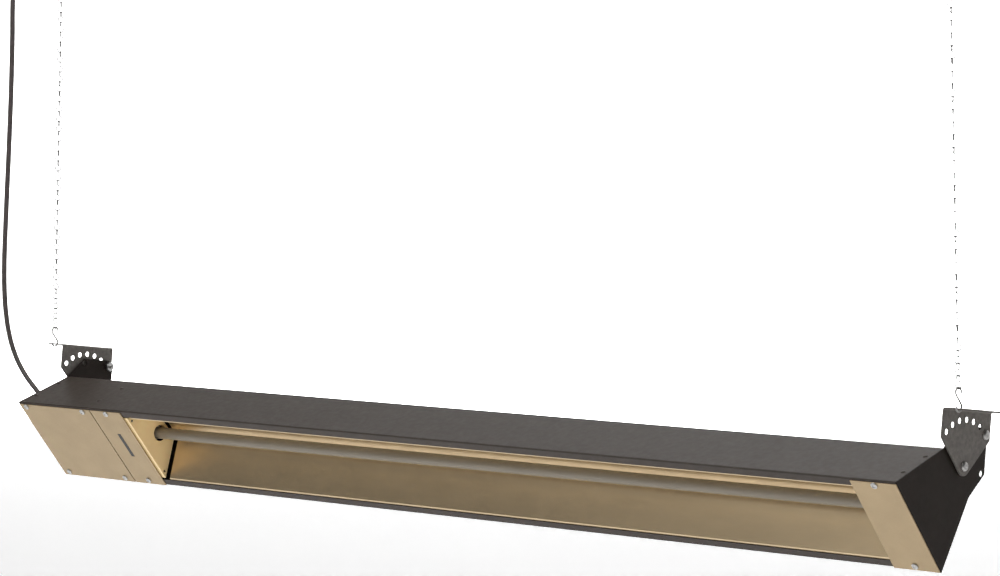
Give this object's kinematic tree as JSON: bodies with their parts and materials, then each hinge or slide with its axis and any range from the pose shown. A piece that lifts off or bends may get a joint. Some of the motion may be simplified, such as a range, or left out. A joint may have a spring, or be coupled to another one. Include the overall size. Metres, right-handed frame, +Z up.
{
  "type": "hanging infrared strip heater",
  "caption": "Long overhead infrared strip heater with a quartz tube in a gold trough reflector, tilting between drilled end brackets that hang from chains.",
  "frame": {"origin": "middle of the line between the seats of the two upper S-hooks, where ceiling eyes hold them", "axes": "+X along the heater towards the end without the cord, -Y the side that the opening faces at rest, +Z up"},
  "size_m": [1.6645, 0.1671, 0.8409],
  "materials": {
    "brown_paint": "satin bronze-brown baked enamel",
    "gold": "gold anodised, brushed",
    "plated_steel": "zinc plated",
    "dark_bolt": "dull zinc",
    "quartz": "milky quartz",
    "element_wire": "oxidised resistance wire",
    "ceramic": "unglazed ceramic",
    "black_rubber": "matt",
    "block": "moulded",
    "lead_sleeve": "glass-fibre sleeved",
    "brass": "plain"
  },
  "bodies": {
    "ceiling_hooks": {"s_hook_upper_left": "plated_steel", "s_hook_upper_right": "plated_steel"},
    "hanging_chains": {"chain_left": "plated_steel", "chain_right": "plated_steel", "s_hook_lower_left": "plated_steel", "s_hook_lower_right": "plated_steel", "power_cord": "black_rubber", "cord_coil": "black_rubber", "coil_tie": "black_rubber", "plug_cord": "black_rubber", "plug_body": "black_rubber", "plug_blades": "brass"},
    "brackets": {"bracket_left": "brown_paint", "bracket_right": "brown_paint"},
    "heater": {"housing_shell": "brown_paint", "end_plate_left": "brown_paint", "end_plate_right": "brown_paint", "partition": "plated_steel", "partition_grommet": "black_rubber", "reflector": "gold", "reflector_end_left": "gold", "reflector_end_right": "gold", "terminal_cover": "gold", "element_cover_left": "gold", "element_cover_right": "gold", "cover_screws": "plated_steel", "housing_rivets": "brown_paint", "quartz_tube": "quartz", "heating_coil": "element_wire", "end_cap_left": "ceramic", "end_cap_right": "ceramic", "element_studs": "plated_steel", "element_nuts": "plated_steel", "terminal_block": "block", "terminal_screws": "brass", "cord_inner_end": "black_rubber", "mains_conductors": "lead_sleeve", "element_lead": "lead_sleeve", "return_lead": "lead_sleeve", "earth_lead": "lead_sleeve", "earth_screw": "plated_steel", "strain_relief": "black_rubber", "relief_locknut": "plated_steel", "pivot_bolts": "dark_bolt", "pivot_nuts": "plated_steel", "lock_bolts": "dark_bolt", "lock_nuts": "plated_steel", "pivot_washers": "plated_steel"}
  },
  "joints": [
    {"name": "chain_swing", "type": "hinge", "parent": "ceiling_hooks", "child": "hanging_chains", "pos_m": [0, 0, -0.02468], "axis": [1, 0, 0], "range_deg": [-15, 15]},
    {"name": "bracket_rock", "type": "hinge", "parent": "hanging_chains", "child": "brackets", "pos_m": [0, 0, -0.66222], "axis": [1, 0, 0], "range_deg": [-20, 20]},
    {"name": "heater_tilt", "type": "hinge", "parent": "brackets", "child": "heater", "pos_m": [0, 0.03554, -0.72708], "axis": [1, 0, 0], "range_deg": [0, 90]}
  ]
}
